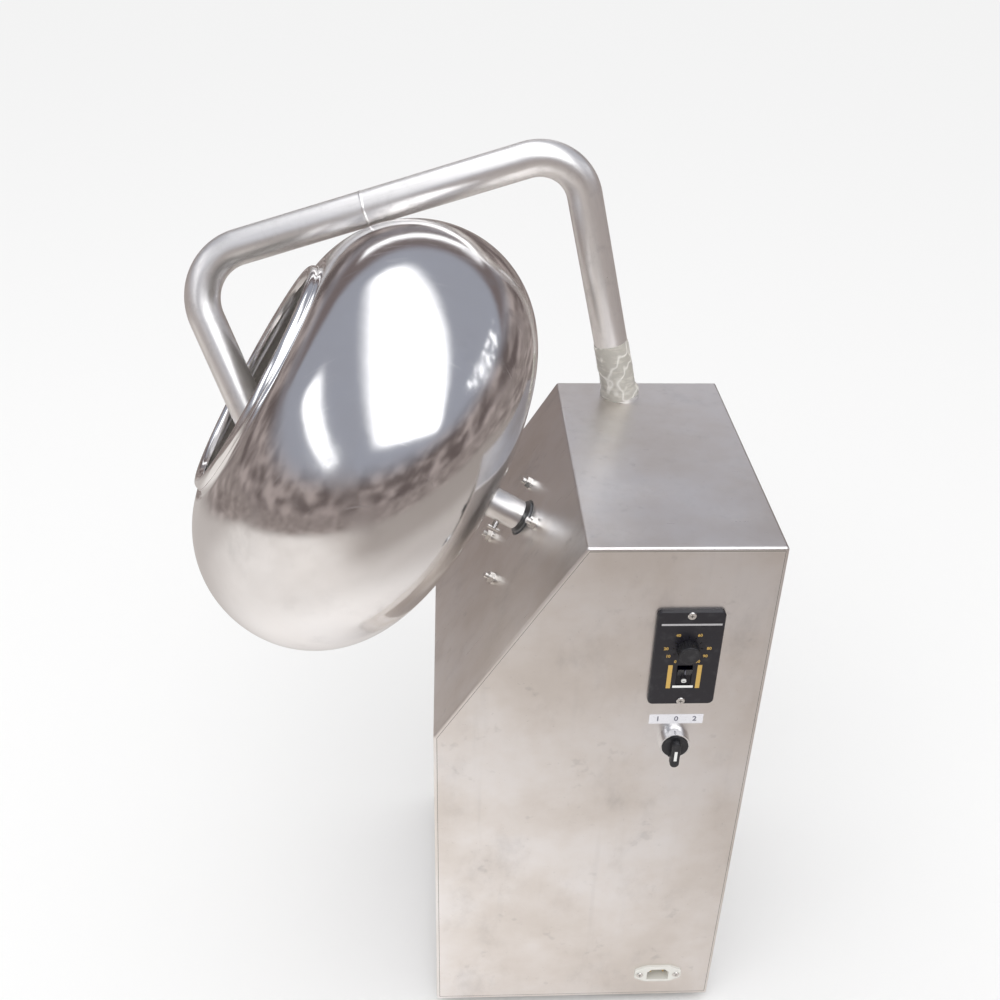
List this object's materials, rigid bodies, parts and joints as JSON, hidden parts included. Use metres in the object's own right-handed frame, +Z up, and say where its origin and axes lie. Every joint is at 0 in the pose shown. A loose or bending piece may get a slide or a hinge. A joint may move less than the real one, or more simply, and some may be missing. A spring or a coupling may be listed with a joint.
{
  "type": "candy coating pan",
  "caption": "Stainless candy coating pan: tilted polished pan on a sheet-metal cabinet with a hot air pipe, speed control and selector switch.",
  "frame": {"origin": "on the floor under the middle of the machine's overall box", "axes": "+Z up, front of the cabinet towards -Y, pan towards -X"},
  "size_m": [0.5351, 0.4158, 0.8725],
  "materials": {
    "satin_steel": "satin folded stainless sheet with smudges",
    "inner_steel": "plain sheet steel",
    "screw_steel": "bright small fasteners",
    "foot_rubber": "matt black rubber",
    "pan_mirror": "mirror polished stainless",
    "hub_polish": "polished turned stainless",
    "shaft_steel": "ground steel",
    "cast_case": "cast aluminium",
    "black_plastic": "satin black plastic",
    "pipe_steel": "satin stainless tube",
    "heater_alloy": "aluminium heating fins",
    "fan_alloy": "plain aluminium",
    "control_black": "black face with silver and gold print",
    "control_body": "black moulded case",
    "rocker_black": "glossy black",
    "bezel_chrome": "bright plated",
    "contact_plastic": "grey moulded plastic",
    "inlet_white": "glossy off-white",
    "pin_metal": "plated pins",
    "capacitor_grey": "light grey moulded"
  },
  "bodies": {
    "cabinet": {"cabinet_shell": "satin_steel", "front_panel": "satin_steel", "rear_cover": "satin_steel", "base_plate": "inner_steel", "rear_cover_screws": "screw_steel", "foot_1": "foot_rubber", "foot_2": "foot_rubber", "foot_3": "foot_rubber", "foot_4": "foot_rubber", "foot_screws": "screw_steel", "gear_head": "cast_case", "output_bearings": "shaft_steel", "motor_case": "cast_case", "fan_cover": "inner_steel", "mount_washers": "screw_steel", "mount_nuts": "screw_steel", "mount_bolts": "screw_steel", "hot_air_pipe": "pipe_steel", "pipe_socket": "pipe_steel", "heater_box": "inner_steel", "heater_core": "heater_alloy", "blower_scroll": "inner_steel", "duct_screws": "screw_steel", "blower_motor": "cast_case", "control_face": "control_black", "control_case": "control_body", "control_screws": "screw_steel", "rocker_pin": "shaft_steel", "selector_bezel": "bezel_chrome", "selector_nut": "screw_steel", "selector_contacts": "contact_plastic", "inlet_body": "inlet_white", "inlet_pins": "pin_metal", "inlet_screws": "screw_steel", "motor_capacitor": "capacitor_grey", "capacitor_clamp": "inner_steel", "terminal_block": "contact_plastic"},
    "pan": {"pan_shell": "pan_mirror", "pan_hub": "hub_polish", "output_shaft": "shaft_steel", "shaft_key": "shaft_steel"},
    "clamp_screw": {"hub_clamp_screw": "screw_steel"},
    "motor_rotor": {"rotor_shaft": "shaft_steel", "cooling_fan": "black_plastic"},
    "impeller": {"blower_impeller": "fan_alloy", "blower_shaft": "shaft_steel"},
    "knob": {"speed_knob": "black_plastic", "speed_spindle": "shaft_steel"},
    "rocker": {"power_rocker": "rocker_black"},
    "selector": {"selector_knob": "black_plastic"}
  },
  "joints": [
    {"name": "pan_turn", "type": "hinge", "parent": "cabinet", "child": "pan", "pos_m": [0.05445, 0, 0.54229], "axis": [-0.8503, 0, 0.5264], "continuous": true},
    {"name": "clamp_turn", "type": "hinge", "parent": "pan", "child": "clamp_screw", "pos_m": [0.03574, 0, 0.55387], "axis": [-0.4647, -0.4695, -0.7507], "range_deg": [0, 180]},
    {"name": "rotor_turn", "type": "hinge", "parent": "cabinet", "child": "motor_rotor", "pos_m": [0.18399, 0, 0.44093], "axis": [-0.8503, 0, 0.5264], "continuous": true},
    {"name": "impeller_turn", "type": "hinge", "parent": "cabinet", "child": "impeller", "pos_m": [0.116, 0.1276, 0.4085], "axis": [0, 1, 0], "continuous": true},
    {"name": "speed_turn", "type": "hinge", "parent": "cabinet", "child": "knob", "pos_m": [0.1916, -0.156, 0.508], "axis": [0, 1, 0], "range_deg": [0, 300]},
    {"name": "power_rock", "type": "hinge", "parent": "cabinet", "child": "rocker", "pos_m": [0.1916, -0.155, 0.4775], "axis": [-1, 0, 0], "range_deg": [0, 20]},
    {"name": "selector_turn", "type": "hinge", "parent": "cabinet", "child": "selector", "pos_m": [0.1906, -0.156, 0.398], "axis": [0, 1, 0], "range_deg": [-45, 45]}
  ],
  "couplings": [
    {"joint": "rotor_turn", "follows": "pan_turn", "ratio": -36}
  ]
}
